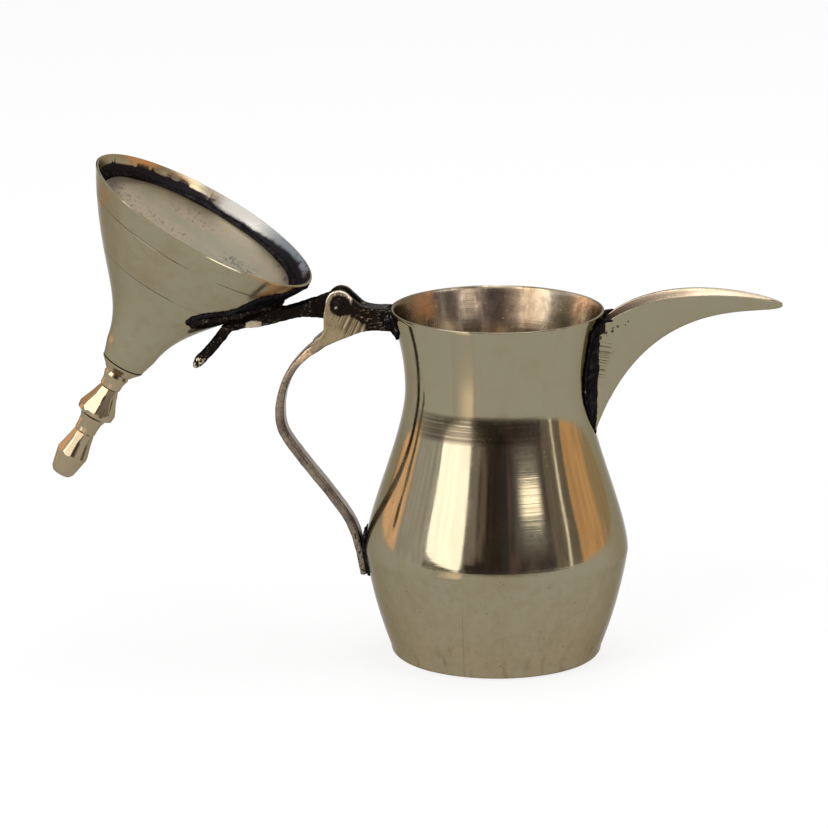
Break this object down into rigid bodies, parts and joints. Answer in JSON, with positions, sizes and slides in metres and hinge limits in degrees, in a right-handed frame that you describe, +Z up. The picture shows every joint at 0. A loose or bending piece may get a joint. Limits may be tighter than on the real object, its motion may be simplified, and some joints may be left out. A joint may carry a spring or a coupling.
{
  "type": "coffee pot with hinged lid",
  "caption": "Small brass coffee pot with a pear-shaped body, open beak spout, strap handle and a trumpet-shaped lid that swings back on a riveted hinge.",
  "frame": {"origin": "centre of the standing face, on the pot's axis", "axes": "+Z up along the pot's axis, +X towards the spout, -X towards the handle and the open lid, +Y across"},
  "size_m": [0.1896, 0.0684, 0.1287],
  "materials": {
    "polished_brass": "turned and polished, lightly dulled brass",
    "plain_brass": "turned brass, pale and slightly pitted",
    "cast_brass": "cast and filed brass",
    "tarnished_brass": "cast brass, blackened, worn bright on its edges",
    "solder": "black, uneven solder"
  },
  "bodies": {
    "pot": {"body_shell": "polished_brass", "base_disc": "plain_brass", "base_solder": "solder", "spout": "polished_brass", "spout_solder": "solder", "handle": "cast_brass", "handle_rim_solder": "solder", "handle_foot_solder": "solder", "hinge_pin": "cast_brass"},
    "lid": {"lid_shell": "polished_brass", "lid_disc": "plain_brass", "lid_disc_solder": "solder", "finial_collar": "polished_brass", "finial": "polished_brass", "lid_arm": "tarnished_brass", "lid_arm_solder": "solder"}
  },
  "joints": [
    {"name": "lid_hinge", "type": "hinge", "parent": "pot", "child": "lid", "pos_m": [-0.0406, 0, 0.0925], "axis": [0, 1, 0], "range_deg": [0, 150.5]}
  ]
}
